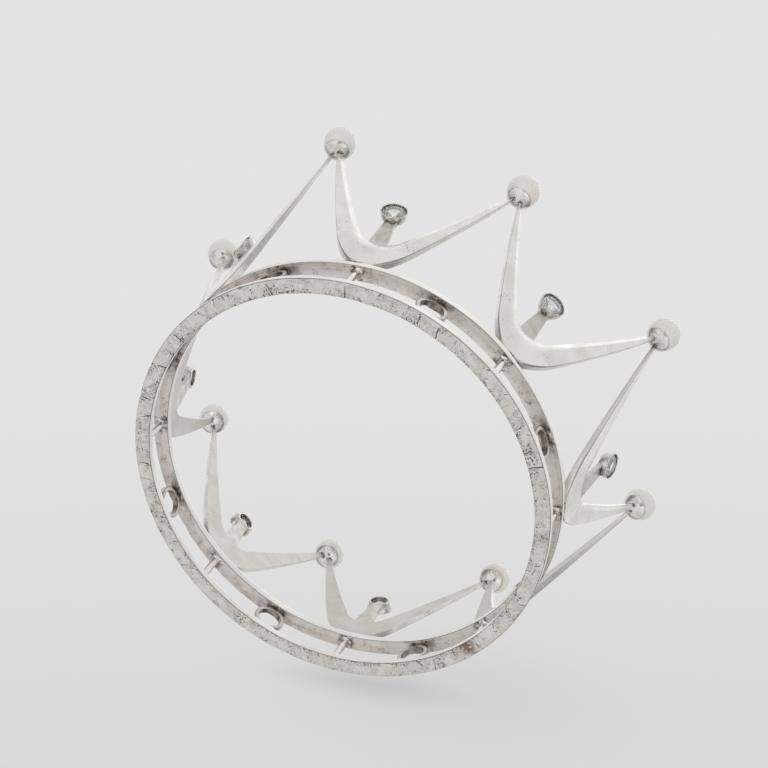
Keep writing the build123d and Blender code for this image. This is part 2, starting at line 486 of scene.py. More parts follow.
def facing(tree, sign, own=False):
    """1 where the surface faces up, or down if sign is -1, by its own Z if asked."""
    if own:
        normal = tree.node("TexCoord").outputs["Normal"]
    else:
        normal = tree.node("NewGeometry").outputs["True Normal"]
    return tree.ramp(tree.times(tree.parts(normal)[2], sign), 0.55, 0.85)


def blots(tree, where, size, low, high):
    """Irregular small marks, where fine noise passes a level."""
    return tree.ramp(tree.noise(where, size, 2.0, 0.6, 0.4), low, high)


def hoop_lines(tree, unrolled, flat, scratches):
    """Scratches on a hoop's flat faces, and faint drawn lines along its walls."""
    drawn = tree.noise(tree.vector("MULTIPLY", unrolled, (0.2, 1.0, 7.0)), 1.0, 3.0)
    return tree.blend(flat, tree.ramp(drawn, 0.50, 0.75, 0.0, 0.6), scratches)


def edge_shade_line(tree):
    """Painted shade lines: 1 on the rounded edges below a face that looks down."""
    down = tree.times(tree.parts(tree.node("NewGeometry").outputs["Normal"])[2], -1.0)
    return tree.band(down, 0.15, 0.40, 0.80, 0.97)


def lower_hoop_material():
    made, t, shader = material("worn_silver", Metallic=1.0)
    where = t.local()
    unrolled, run, radius = along_hoop(t, where)
    bottom = facing(t, -1.0)
    worn = t.noise(where, 3.0, 4.0, 0.6)
    fine = hoop_lines(t, unrolled, bottom, t.scratches(where, (12, 48, 83, 121, 160), 5.0, 0.09, 0.62))
    filed = t.noise(t.vector("MULTIPLY", unrolled, (7.0, 0.35, 1.0)), 1.0, 2.0, 0.5, 0.25)
    across = t.both(t.ramp(filed, 0.60, 0.68), t.ramp(t.noise(where, 6.0, 2.0), 0.42, 0.55))
    eyelet_near = t.fall(near_units(t, run, 0.5), 2.0, 8.0)
    inner_near = t.fall(radius, HOOP_R - HOOP_WIDTH + 0.2, HOOP_R - HOOP_WIDTH + 1.4)
    crowd = t.math("MULTIPLY_ADD", eyelet_near, 0.06, t.times(inner_near, 0.12))
    patch = t.plus(t.noise(where, 3.6, 3.0), crowd)
    pits = t.both(blots(t, where, 0.46, 0.56, 0.60), t.ramp(patch, 0.575, 0.635))
    specks = t.both(blots(t, where, 0.26, 0.62, 0.66), t.ramp(patch, 0.50, 0.57))
    hairs = t.both(t.hairs(where, 1.3, 0.47, 1.8), t.ramp(patch, 0.42, 0.52))
    wobble = t.times(t.noise(where, 0.8, 2.0), 0.5)
    bent = t.vector("ADD", unrolled, t.join(wobble, 0.0, 0.0))
    cuts = t.any(
        t.cuts(bent, 4.6, 3.8, 0.26, 0.50),
        t.cuts(t.vector("ADD", bent, (31.0, 7.0, 0.0)), 1.9, 1.5, 0.18, 0.32, 1.5),
    )
    cuts = t.times(cuts, t.ramp(patch, 0.42, 0.56, 0.45, 1.0))
    marks = t.both(t.any(pits, cuts, t.times(specks, 0.85), t.times(hairs, 0.9)), bottom)
    face = t.mix(t.ramp(worn, 0.35, 0.68), WORN_GREY, WORN_BRIGHT)
    face = t.tint(face, t.any(across, fine), 0.5, SCRATCH_GREY)
    near_stain = t.fall(t.vector("DISTANCE", where, STAIN_AT), 1.0, 3.0)
    brown = t.both(near_stain, blots(t, where, 0.9, 0.36, 0.48))
    face = t.tint(face, brown, 0.92, STAIN_BROWN)
    colour = t.mix(bottom, SIDE_SILVER, face)
    # Painted shade lines along the rounded edges under the bottom face
    colour = t.tint(colour, edge_shade_line(t), 0.55, SHADE_AND_TARNISH)
    # Painted shade and tarnish in the corners along the hoop's sides
    side_crevice_shade = t.both(t.crevice_shade(0.9), t.minus(1.0, bottom))
    colour = t.tint(colour, side_crevice_shade, 0.75, SHADE_AND_TARNISH)
    colour = t.tint(colour, marks, 0.95, CUT_BROWN)
    polish = t.blend(bottom, 0.15, t.ramp(worn, 0.3, 0.7, 0.28, 0.42))
    rough = t.plus(polish, t.times(t.any(fine, marks), 0.14), clamp=True)
    height = t.minus(t.times(worn, 0.3), t.times(fine, 0.25))
    height = t.minus(height, t.any(marks, t.both(across, bottom)))
    finish_surface(t, shader, colour, rough, height, 0.035)
    return made


def upper_hoop_material():
    made, t, shader = material("tarnished_silver", Metallic=1.0)
    where = t.local()
    unrolled, run, radius = along_hoop(t, where)
    bottom, top = facing(t, -1.0), facing(t, 1.0)
    streaks = t.noise(t.vector("MULTIPLY", unrolled, (0.10, 2.6, 1.0)), 1.0, 5.0, 0.65)
    blotches = t.noise(where, 2.2, 5.0, 0.65)
    speckle = t.noise(where, 0.5, 3.0, 0.7)
    to_eyelet = near_units(t, run, 0.5)
    at_eyelet = t.fall(t.minus(to_eyelet, t.times(blotches, 5.2)), -1.2, 1.0)
    to_post = near_units(t, run, 0.0)
    at_post = t.fall(t.minus(to_post, t.times(blotches, 3.6)), -0.6, 0.6)
    burnt = t.both(t.any(at_eyelet, at_post), t.ramp(t.noise(where, 1.3, 4.0, 0.7), 0.46, 0.57), bottom)
    under = t.mix(t.ramp(streaks, 0.30, 0.70), (0.60, 0.54, 0.50, 1), WARM_SILVER)
    under = t.tint(under, t.ramp(blotches, 0.48, 0.64), 0.35, (0.47, 0.40, 0.355, 1))
    pale = t.fall(t.math("MULTIPLY_ADD", blotches, 1.2, radius), 46.9, 49.4)
    under = t.tint(under, pale, 0.65, (0.88, 0.86, 0.83, 1))
    browned = t.both(t.fall(to_eyelet, 3.0, 8.0), t.ramp(blotches, 0.40, 0.58))
    under = t.tint(under, browned, 0.45, (0.36, 0.295, 0.25, 1))
    fine = hoop_lines(t, unrolled, t.any(bottom, top), t.scratches(where, (5, 62, 118), 6.0, 0.10, 0.64))
    pits = t.both(blots(t, where, 0.34, 0.58, 0.63), t.ramp(blotches, 0.50, 0.60), bottom)
    colour = t.mix(bottom, SIDE_SILVER, under)
    # Painted shade lines along the rounded edges under the bottom face
    colour = t.tint(colour, edge_shade_line(t), 0.7, SHADE_AND_TARNISH)
    colour = t.mix(t.both(top, t.ramp(blotches, 0.4, 0.7, 0.0, 0.35)), colour, WARM_SILVER)
    # Painted shade and tarnish in the corners between pieces
    colour = t.tint(colour, t.crevice_shade(1.1), 0.8, SHADE_AND_TARNISH)
    colour = t.tint(colour, pits, 0.8, (0.11, 0.085, 0.07, 1))
    colour = t.tint(colour, burnt, 0.88, (0.13, 0.095, 0.075, 1))
    polish = t.blend(bottom, 0.16, t.ramp(streaks, 0.3, 0.7, 0.30, 0.50))
    rough = t.plus(polish, t.times(t.any(fine, burnt), 0.16), clamp=True)
    height = t.minus(t.times(t.plus(streaks, speckle), 0.35), t.any(pits, burnt))
    height = t.minus(height, t.times(fine, 0.25))
    finish_surface(t, shader, colour, rough, height, 0.03)
    return made


def gable_material():
    made, t, shader = material("gable_silver", Metallic=1.0)
    where = t.local()
    back = facing(t, -1.0, own=True)
    broad = t.noise(t.world(), 7.0, 3.0)
    grain = t.noise(where, 0.35, 4.0, 0.7)
    fine = t.scratches(where, (64, 71, -66, 10), 6.0, 0.08, 0.62)
    patch = t.noise(t.world(), 5.0, 3.0)
    crowded = t.both(blots(t, where, 0.40, 0.58, 0.64), t.ramp(patch, 0.56, 0.64, 0.0, 0.55))
    pits = t.any(t.pits(where, 2.6, 0.28, 0.14), crowded)
    inner = t.mix(t.ramp(broad, 0.35, 0.68), (0.58, 0.555, 0.52, 1), (0.70, 0.68, 0.65, 1))
    outer = t.mix(t.ramp(broad, 0.36, 0.66), (0.93, 0.915, 0.90, 1), (0.82, 0.80, 0.775, 1))
    colour = t.mix(back, outer, inner)
    # Painted shade lines on the rounded edges between the faces
    level = t.parts(t.node("TexCoord").outputs["Normal"])[2]
    colour = t.tint(colour, t.band(level, 0.18, 0.40, 0.66, 0.86), 0.55, SHADE_AND_TARNISH)
    colour = t.tint(colour, fine, 0.16, (0.45, 0.42, 0.40, 1))
    # Painted shade and tarnish in the corners between pieces, broken up by noise
    shade_and_grime = t.both(t.crevice_shade(1.3), t.ramp(t.noise(t.world(), 0.7, 3.0), 0.38, 0.60))
    tip = t.parts(t.world())[2]
    soot = t.both(t.ramp(tip, 52.0, 53.4), t.ramp(t.noise(t.world(), 0.8, 2.0), 0.40, 0.50))
    colour = t.tint(colour, t.any(shade_and_grime, pits, soot), 0.88, (0.085, 0.066, 0.056, 1))
    polish = t.blend(back, 0.17, 0.38)
    rough = t.plus(polish, t.times(t.any(t.ramp(broad, 0.4, 0.7), fine), 0.08), clamp=True)
    height = t.minus(t.times(grain, 0.3), t.times(fine, 0.3))
    height = t.minus(height, pits)
    finish_surface(t, shader, colour, rough, height, 0.012)
    return made


# How softly the painted shade inside a bright piece starts, across its wall and along its axis
CONE_SOFT = 0.04
END_SOFT = 0.06


def bright_material(name, light, dark, crevice_reach, polish=(0.10, 0.20), inside=None, outlined=0.0):
    """Polished silver of the small parts, from light to dark in clouds, sooty where solder ran, with
    painted shade and oxide in the corners between pieces.

    inside has (radius, spread per mm, bottom, top) of cones within which painted shade makes it dark and
    mottled.
    outlined is how much painted shade darkens its rounded rims.
    """
    made, t, shader = material(name, Metallic=1.0)
    where = t.world()
    broad = t.noise(where, 2.2, 4.0, 0.6)
    grain = t.noise(where, 0.30, 3.0, 0.7)
    fine = t.scratches(where, (15, 75, 130), 2.5, 0.07, 0.64)
    colour = t.mix(t.ramp(broad, 0.38, 0.66), light, dark)
    # Painted shade and oxide in the corners between pieces, broken up by noise
    shade_and_grime = t.both(t.crevice_shade(crevice_reach), t.ramp(t.noise(where, 0.55, 3.0), 0.34, 0.58))
    soot = t.node("Attribute", attribute_name="soot").outputs["Fac"]
    soldered = t.both(soot, t.ramp(t.noise(where, 0.45, 3.0, 0.65), 0.38, 0.56, 0.25, 1.0))
    if outlined:
        # Painted shade lines on the rounded rims
        level = t.math("ABSOLUTE", t.parts(t.node("TexCoord").outputs["Normal"])[2])
        colour = t.tint(colour, t.band(level, 0.05, 0.25, 0.85, 0.99), outlined, SHADE_AND_TARNISH)
    if inside:
        x, y, z = t.parts(t.local())
        off_axis = t.vector("LENGTH", t.join(x, y, 0.0))
        masks = []
        for radius, spread, bottom, top in inside:
            cone = t.minus(off_axis, t.times(z, spread))
            within = t.fall(cone, radius - CONE_SOFT, radius + CONE_SOFT)
            masks.append(t.both(within, t.band(z, bottom - END_SOFT, bottom, top, top + END_SOFT)))
        # Painted shade, mottled, for the inside of the cones
        mottled = t.mix(t.ramp(broad, 0.40, 0.62), (0.17, 0.14, 0.12, 1), (0.42, 0.38, 0.345, 1))
        colour = t.mix(t.any(*masks), colour, mottled)
    colour = t.tint(colour, shade_and_grime, 0.8, SHADE_AND_OXIDE)
    colour = t.tint(colour, soldered, 0.92, SOOT)
    shade_and_grime = t.any(shade_and_grime, soldered)
    rough = t.ramp(broad, 0.35, 0.7, *polish)
    rough = t.plus(rough, t.times(t.any(shade_and_grime, fine), 0.2), clamp=True)
    height = t.minus(t.times(grain, 0.4), t.times(fine, 0.3))
    finish_surface(t, shader, colour, rough, height, 0.010)
    return made


def pearl_material(name, glue_and_reflection):
    """Cream nacre, browner round the foot of the ball: a faint painted reflection of the cup on every
    pearl, much browner on the glued pearl, whose foot has yellowed.
    """
    made, t, shader = material(
        name, Subsurface_Weight=0.35, Subsurface_Scale=0.0012, Coat_Weight=0.35, Coat_Roughness=0.20,
        Coat_IOR=1.5,
    )
    shader.inputs["Subsurface Radius"].default_value = (1.0, 0.85, 0.7)
    where = t.world()
    cloud = t.noise(where, 2.6, 3.0, 0.5, 0.4)
    growth = t.noise(where, 0.22, 3.0, 0.6)
    colour = t.mix(t.ramp(cloud, 0.35, 0.68), (0.94, 0.89, 0.845, 1), (0.90, 0.89, 0.86, 1))
    foot = t.plus(t.parts(t.local())[2], t.times(cloud, 0.9))
    # Browner round the foot: painted reflection of the cup on every pearl, and yellowed where a pearl
    # was glued
    colour = t.mix(t.ramp(foot, -2.5, -1.4, glue_and_reflection, 0.0), colour, (0.58, 0.42, 0.24, 1))
    finish_surface(t, shader, colour, t.ramp(cloud, 0.3, 0.7, 0.26, 0.40), growth, 0.0015)
    return made


def crystal_material():
    made, t, shader = material("rock_crystal", IOR=1.54, Transmission_Weight=0.8)
    where = t.world()
    veil = t.noise(where, 0.8, 4.0, 0.65, 0.6)
    colour = t.mix(t.ramp(veil, 0.4, 0.75), (0.985, 0.992, 0.99, 1), (0.93, 0.95, 0.945, 1))
    rough = t.ramp(veil, 0.55, 0.8, 0.0, 0.12)
    finish_surface(t, shader, colour, rough, t.noise(where, 0.25, 2.0), 0.001)
    return made


WORN = lower_hoop_material()
TARNISHED = upper_hoop_material()
GABLE = gable_material()
# Eyelets: painted shade over the whole bore and along the rims
EYELET = bright_material(
    "eyelet_silver", (0.66, 0.64, 0.62, 1), (0.56, 0.535, 0.51, 1), 0.9, polish=(0.26, 0.36),
    inside=[(EYELET_R - EYELET_WALL + 0.08, 0.0, -5.0, 5.0)], outlined=0.95,
)
POST = bright_material("post_silver", SIDE_SILVER, WARM_SILVER, 1.1)
# Collets: painted shade in the back bore and above the stone
COLLET = bright_material(
    "collet_silver", (0.80, 0.775, 0.75, 1), (0.62, 0.59, 0.56, 1), 0.35, polish=(0.16, 0.26),
    inside=[
        (COLLET_BACK_BORE + 0.13, 0.30, 0.06, 0.8),
        (COLLET_RIM_R - 0.20, 0.0, STONE_SEAT + 0.25, COLLET_DEPTH - 0.15),
    ],
)
CUP = bright_material("cup_silver", (0.86, 0.84, 0.82, 1), (0.68, 0.645, 0.61, 1), 0.25)
STEM = bright_material(
    "stem_silver", (0.70, 0.68, 0.65, 1), (0.58, 0.555, 0.52, 1), 0.6, polish=(0.34, 0.42),
)
# 0.12 paints a faint brown reflection of the cup at each pearl's foot; 0.9 is mostly the yellowing where
# the pearl was glued
PEARL = pearl_material("pearl", 0.12)
GLUED_PEARL = pearl_material("pearl_with_glue", 0.9)
CRYSTAL = crystal_material()


# -------- pieces

HOOP_SEGMENTS = 640
HOOP_EDGE_ROUND = 0.28
HOOP_DINGS = 46
DING_REACH = 0.45


def hoop(name, z, material_used, seed):
    """Flat ring with softened, slightly dinged edges and hand-filed unevenness."""
    outline = rounded_outline(HOOP_R - HOOP_WIDTH, HOOP_R, 0, HOOP_THICK, HOOP_EDGE_ROUND, 12, 5)
    rng = random.Random(seed)
    dings = [
        (
            rng.uniform(0, math.tau), rng.choice((HOOP_R, HOOP_R - HOOP_WIDTH)),
            rng.choice((0.0, HOOP_THICK)), rng.uniform(0.5, 1.3), rng.uniform(0.05, 0.14),
        )
        for _ in range(HOOP_DINGS)
    ]

    def change(radius, height, turn):
        place = around(radius, height, turn)
        r = radius + wave(place, 9.0, 0.05, seed)
        h = height + wave(place, 11.0, 0.04, seed + 7)
        for at, edge_r, edge_h, size, deep in dings:
            gap = abs((turn - at + math.pi) % math.tau - math.pi) * HOOP_R
            if gap < size and math.hypot(radius - edge_r, height - edge_h) < DING_REACH:
                push = deep * (1 - (gap / size) ** 2) ** 2
                r -= math.copysign(push, edge_r - HOOP_MID_R)
                h -= math.copysign(push, edge_h - HOOP_THICK / 2)
        return r, h + z

    shape = Shape()
    shape.lathe(outline, HOOP_SEGMENTS, change)
    piece = shape.place(name + "_ring", material_used)
    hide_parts(name)


EYELET_LIP = 0.17
EYELET_SEGMENTS = 96
# How far the solder web reaches from an eyelet's top and bottom, and over how much it thins, in radians
WEB_REACH = 0.34
WEB_FADE = 0.14


def eyelet(i):
    """Short tube with rounded lips, with a web of solder where it meets each hoop."""
    half, bore = EYELET_LENGTH / 2, EYELET_R - EYELET_WALL
    outline = rounded_outline(bore, EYELET_R, -half, half, EYELET_LIP, 4, 6, 5)

    def change(radius, height, turn):
        away = abs((turn % math.pi) - math.pi / 2)
        web = min(max((WEB_REACH - away) / WEB_FADE, 0.0), 1.0)
        uneven = wave((math.cos(turn) * 3, math.sin(turn) * 3, height), 1.1, 0.06, i + 2.0)
        if radius > EYELET_R - 0.25:
            flat = EYELET_R / max(math.cos(away), 0.8) - EYELET_R
            radius += web * flat * (1 + uneven * 3) - 0.01
        radius += uneven * 0.25
        lip = 0.05 * math.cos(3 * turn + i)
        return radius, height + lip * (height / half)

    shape = Shape()
    shape.lathe(outline, EYELET_SEGMENTS, change)
    matrix = radial_axes(HOOP_MID_R, (i + 0.5) * STEP, GAP_MID_Z)
    name = f"eyelet_{i + 1}"
    piece = shape.place(name + "_tube", EYELET, matrix)
    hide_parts(name)


POST_LEVELS = 36
POST_SEGMENTS = 28
COLLAR_HEIGHT = 0.75
COLLAR_SIZE = 0.42


def posts():
    """Eight round posts, each with an uneven collar of solder at both ends."""
    shape = Shape()
    half = HOOP_GAP / 2
    levels = [-half + HOOP_GAP * k / POST_LEVELS for k in range(POST_LEVELS + 1)]
    for i in range(UNITS):
        centre = polar(HOOP_MID_R, i * STEP, GAP_MID_Z)
        sections = []
        for h in levels:
            end = max(0.0, 1 - (half - abs(h)) / COLLAR_HEIGHT)
            row = []
            for k in range(POST_SEGMENTS):
                a = math.tau * k / POST_SEGMENTS
                d = around(1, 0, a)
                level = Vector((0, 0, h))
                collar = COLLAR_SIZE * end ** 2 * (1 + wave(d * 2 + level, 0.9, 0.8, i + 1.0))
                r = POST_R + collar + wave(d + level, 1.6, 0.025, i + 5.0)
                row.append(centre + d * r + level)
            sections.append(row)
        shape.loft(sections)
    piece = shape.place("spacer_posts_soldered", POST)
    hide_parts("spacer_posts")


def scaled(point, reach, height):
    return (point[0] * reach / HALF_SPAN, point[1] * height / SPAN_HEIGHT)


CORNER_STATIONS = 22
ARM_STATIONS = 44
CORNER_ARC_POINTS = 40
ARM_ARC_POINTS = 80


def half_edges(reach, height):
    """Outer and inner edge of half a gable, from its middle to a tip, paired point by point."""
    p = [scaled(q, reach, height) for q in (FOOT, HEEL, HIP, OUTER_MID, OUTER_TIP)]
    q = [scaled(s, reach, height) for s in (CROTCH, CROTCH_SIDE, ARMPIT, INNER_MID, INNER_TIP)]
    outer_corner = resample([(0.0, 0.0), *arc_points(*p[:3], CORNER_ARC_POINTS)], CORNER_STATIONS)
    outer_arm = resample(arc_points(*p[2:], ARM_ARC_POINTS), ARM_STATIONS)
    inner_corner = resample(arc_points(*q[:3], CORNER_ARC_POINTS), CORNER_STATIONS)
    inner_arm = resample(arc_points(*q[2:], ARM_ARC_POINTS), ARM_STATIONS)
    return relaxed(outer_corner + outer_arm[1:], 3), relaxed(inner_corner + inner_arm[1:], 2)


def plane_height(facet, reach, height):
    """Function that gives a facet's height over a point of the gable."""
    a, b, c = (Vector((*scaled(q, reach, height), q[2])) for q in facet)
    n = (b - a).cross(c - a)
    return lambda x, y: a.z - (n.x * (x - a.x) + n.y * (y - a.y)) / n.z


def soft_least(a, b, blend):
    """The lesser of two heights, rounded off where they meet."""
    h = min(max(0.5 + (b - a) / (2 * blend), 0.0), 1.0)
    return b + (a - b) * h - blend * h * (1 - h)


EDGE_ROUND = 0.32
EDGE_STEPS = 5
INNER_EDGE_STEPS = 3
LEAST_WALL = 0.2
BACK_EASE = 0.10
WIDE_COLUMNS = 13
NARROW_COLUMNS = 7
BACK_COLUMNS = 7
# Where along a gable its corner starts to fade, and over how much, as shares of the corner's stations
CORNER_FADE_FROM = 0.55
CORNER_FADE_OVER = 0.9
# Where across a gable its ridge is looked for, and how far out and in it may lie
RIDGE_SEARCH = (0.15, 0.97)
SEARCH_STEPS = 18
RIDGE_LIMITS = (0.3, 0.9)
TIP_CLEAR = 0.12
FOOT_SINK = 0.02


def gable(i):
    """V of two arms, faceted outside and flat inside, that stops short of its pearls."""
    base, across, up, out, left, right, height = gable_axes(i)
    halves = []
    for reach in (left, right):
        outer, inner = half_edges(reach, height)
        wide = plane_height(WIDE_FACET, reach, height)
        side = math.copysign(1.0, reach)
        rows = []
        for k, (o, n) in enumerate(zip(outer, inner)):
            past = (k - CORNER_STATIONS * CORNER_FADE_FROM) / (CORNER_STATIONS * CORNER_FADE_OVER)
            corner = 1 - min(max(past, 0.0), 1.0)
            corner = corner * corner * (3 - 2 * corner)
            rows.append(section(o, n, wide, side, corner, i))
        halves.append(rows)
    sections = halves[0][:0:-1] + halves[1]
    tips = (pearl_centre(i - 1), pearl_centre(i))
    to_world = axes_at(base, across, up, out, 1.0)
    back = to_world.inverted()
    kept = []
    for row in sections:
        world = [to_world @ p for p in row]
        middle = sum(world, Vector()) / len(world)
        if min((middle - tip).length for tip in tips) < PEARL_R + TIP_CLEAR:
            continue
        for p in world:
            p.z = max(p.z, BAND_TOP - FOOT_SINK)
        kept.append([back @ p for p in world])
    shape = Shape()
    shape.loft(kept)
    name = f"gable_{i + 1}"
    piece = shape.place(name + "_faceted", GABLE, axes_at(base, across, up, out), sharp=26)
    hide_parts(name)


def section(outer, inner, wide, side, corner, seed):
    """Closed ring of points round the gable between one outer and one inner edge point."""
    o, n = Vector((*outer, 0)), Vector((*inner, 0))
    width = (n - o).length
    soft = 0.03 + 0.7 * corner

    def bevel(t, y):
        return BEVEL_CROTCH + BEVEL_FALL * (CROTCH[1] - y) + (1 - t) * width * BEVEL_SLOPE

    def top(t):
        p = o.lerp(n, t)
        x = side * math.hypot(p.x, 2.2 * corner)
        h = soft_least(wide(x, p.y), bevel(t, p.y), soft)
        h = soft_least(h, GABLE_THICK, 0.04 + 0.5 * corner)
        return h + wave((p.x, p.y, seed * 9.0), 5.0, 0.03, 2.0)

    low, high = RIDGE_SEARCH
    for _ in range(SEARCH_STEPS):
        t = (low + high) / 2
        p = o.lerp(n, t)
        if wide(p.x, p.y) < bevel(t, p.y):
            low = t
        else:
            high = t
    ridge = min(max((low + high) / 2, RIDGE_LIMITS[0]), RIDGE_LIMITS[1])
    turn = EDGE_ROUND * (0.75 + 0.9 * corner)
    turn = min(turn, 0.3 * width)
    edge = turn / width
    wall = max(top(edge) - turn, LEAST_WALL)
    ring = [(0.0, 0.12), (0.0, wall * 0.5), (0.0, wall)]
    for k in range(1, EDGE_STEPS):
        a = math.radians(90 * k / EDGE_STEPS)
        ring.append((edge * (1 - math.cos(a)), wall + turn * math.sin(a)))
    stops = [edge + (ridge - edge) * k / WIDE_COLUMNS for k in range(WIDE_COLUMNS)]
    stops += [ridge + (1 - edge * 0.5 - ridge) * k / NARROW_COLUMNS for k in range(NARROW_COLUMNS + 1)]
    ring += [(t, top(t)) for t in stops]
    small = turn * 0.5
    brink = top(1 - edge * 0.5)
    for k in range(1, INNER_EDGE_STEPS + 1):
        a = math.radians(90 * k / INNER_EDGE_STEPS)
        ring.append((1 - edge * 0.5 * (1 - math.sin(a)), brink - small * (1 - math.cos(a))))
    ring += [(1.0, brink * 0.45), (1.0, 0.12), (1 - BACK_EASE / width, 0.0)]
    ring += [(1 - k / BACK_COLUMNS, 0.0) for k in range(1, BACK_COLUMNS)]
    ring.append((BACK_EASE / width, 0.0))
    return [Vector((*o.lerp(n, t).xy, h)) for t, h in ring]


STEM_STEPS = 26
STEM_EDGE = 0.14
STEM_GAP = 0.1
# The last tenth of a stem widens and thickens toward its collet
FLARE_FROM = 0.90
FLARE_OVER = 0.10
FLARE_HALF = 0.30
FLARE_THICK = 0.25
HEAD_LUMPS = 6


def stem(i):
    """Flat tapered plate with eased edges, and a head of solder."""
    base, across, up, out, *_ = gable_axes(i)
    shape = Shape()
    sections = []
    for k in range(STEM_STEPS + 1):
        share = k / STEM_STEPS
        y = STEM_FOOT_H + (COLLET_H - COLLET_BACK_R - STEM_GAP - STEM_FOOT_H) * share
        rise = (y - STEM_FOOT_H) / (COLLET_H - STEM_FOOT_H)
        half = STEM_FOOT_HALF + (STEM_TOP_HALF - STEM_FOOT_HALF) * rise
        flare = max(0.0, (share - FLARE_FROM) / FLARE_OVER) ** 2
        half += FLARE_HALF * flare
        thick = STEM_THICK + FLARE_THICK * flare
        outline = rounded_outline(-half, half, 0.01, thick, STEM_EDGE, 6, 3, 3)
        row = []
        for x, h in outline:
            aside = STEM_LEAN[i] * rise + wave((x, y, h), 2.2, 0.02, i)
            row.append(Vector((x + aside, y, h + wave((x, y, h), 3.0, 0.02, i + 4.0))))
        sections.append(row)
    shape.loft(sections)
    rng = random.Random(60 + i)
    for _ in range(HEAD_LUMPS):
        across_at = 0.9 * STEM_LEAN[i] + rng.uniform(-0.9, 0.9)
        up_at = COLLET_H - COLLET_BACK_R + rng.uniform(-0.6, 0.0)
        spot = (across_at, up_at, rng.uniform(0.6, 1.7))
        shape.lump(spot, rng.uniform(0.35, 0.60), 0.7, rng.uniform(0, 9))
    name = f"stem_{i + 1}"
    piece = shape.place(name + "_plate", STEM, axes_at(base, across, up, out))
    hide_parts(name)


def collet_matrix(i):
    base, across, up, out, *_ = gable_axes(i)
    return axes_at(base + across * STEM_LEAN[i] + up * COLLET_H, across, up, out)


COLLET_SEGMENTS = 192
# A nick starts this high in the wall, and its bottom is this far in and down from the rim
NICK_FROM = 1.7
NICK_IN = 0.10
NICK_DOWN = 0.13


def collet(i):
    """Thin bowl, open at the back, its rim nicked into shallow lobes that close over the stone."""
    wall = [
        (COLLET_BACK_BORE, 0.14), (COLLET_BACK_BORE + 0.10, 0.0), (COLLET_BACK_R - 0.12, 0.0),
        (COLLET_BACK_R, 0.10), (2.72, 0.45), (2.88, 0.90), (2.99, 1.30), (3.07, 1.75), (3.12, 2.15),
        (COLLET_RIM_R, 2.42), (COLLET_RIM_R - 0.04, COLLET_DEPTH - 0.02),
        (COLLET_RIM_R - 0.14, COLLET_DEPTH), (COLLET_RIM_BORE + 0.04, COLLET_DEPTH - 0.06),
        (COLLET_RIM_BORE - 0.02, 2.40), (2.80, 2.20), (2.72, 1.95), (2.60, 1.65), (2.44, 1.25),
        (2.27, 0.85), (2.10, 0.45),
    ]

    def change(radius, height, turn):
        nick = (0.5 + 0.5 * math.cos(CLAWS * turn)) ** 3
        lift = max(0.0, (height - NICK_FROM) / (COLLET_DEPTH - NICK_FROM))
        uneven = wave(around(radius, height, turn), 2.0, 0.04, i)
        if radius > COLLET_RIM_BORE:
            radius -= lift * NICK_IN * nick
        return radius, height - lift * NICK_DOWN * nick - abs(uneven)

    shape = Shape()
    shape.lathe(wall, COLLET_SEGMENTS, change)
    name = f"collet_{i + 1}"
    piece = shape.place(name + "_bowl", COLLET, collet_matrix(i), sharp=50)
    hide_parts(name)


# Corners of a stone's facets: radius, height over its seat, turn in steps, and how many
STONE_ROWS = (
    (0.30, -1.60, 0.0, 8),
    (1.55, -0.90, 0.5, 8),
    (GIRDLE_R, -0.10, 0.0, 16),
    (GIRDLE_R, 0.10, 0.0, 16),
    (2.16, 0.50, 0.0, 8),
    (1.60, 0.80, 0.5, 8),
)


def stone(i):
    """Brilliant cut: table, crown mains and stars, girdle, pavilion mains and culet."""
    mesh = bmesh.new()
    for radius, height, shift, count in STONE_ROWS:
        for k in range(count):
            mesh.verts.new(around(radius, STONE_SEAT + height, math.tau * (k + shift) / count) * MM)
    bmesh.ops.convex_hull(mesh, input=mesh.verts)
    loose = [v for v in mesh.verts if not v.link_faces]
    bmesh.ops.delete(mesh, geom=loose, context="VERTS")
    bmesh.ops.dissolve_limit(mesh, angle_limit=math.radians(1.0), verts=mesh.verts, edges=mesh.edges)
    data = bpy.data.meshes.new(f"stone_{i + 1}_brilliant")
    mesh.to_mesh(data)
    mesh.free()
    data.materials.append(CRYSTAL)
    piece = new_object(data.name, data)
    piece.matrix_world = collet_matrix(i)
    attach(piece, "root")
    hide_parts(f"stone_{i + 1}")


CUP_STEPS = 28
CUP_SEGMENTS = 72
CUP_CLEAR = 0.01
# How far a cup's rim lies beyond the pearl, inside and outside, and how many degrees past the wall
LIP = (0.07, 0.23)
LIP_TURN = 1.6
# Where the solder holds a point to its cup, and how far apart its lumps are
SOLDER_TIP = (22.35, 42.5)
SOLDER_PITCH = 0.62


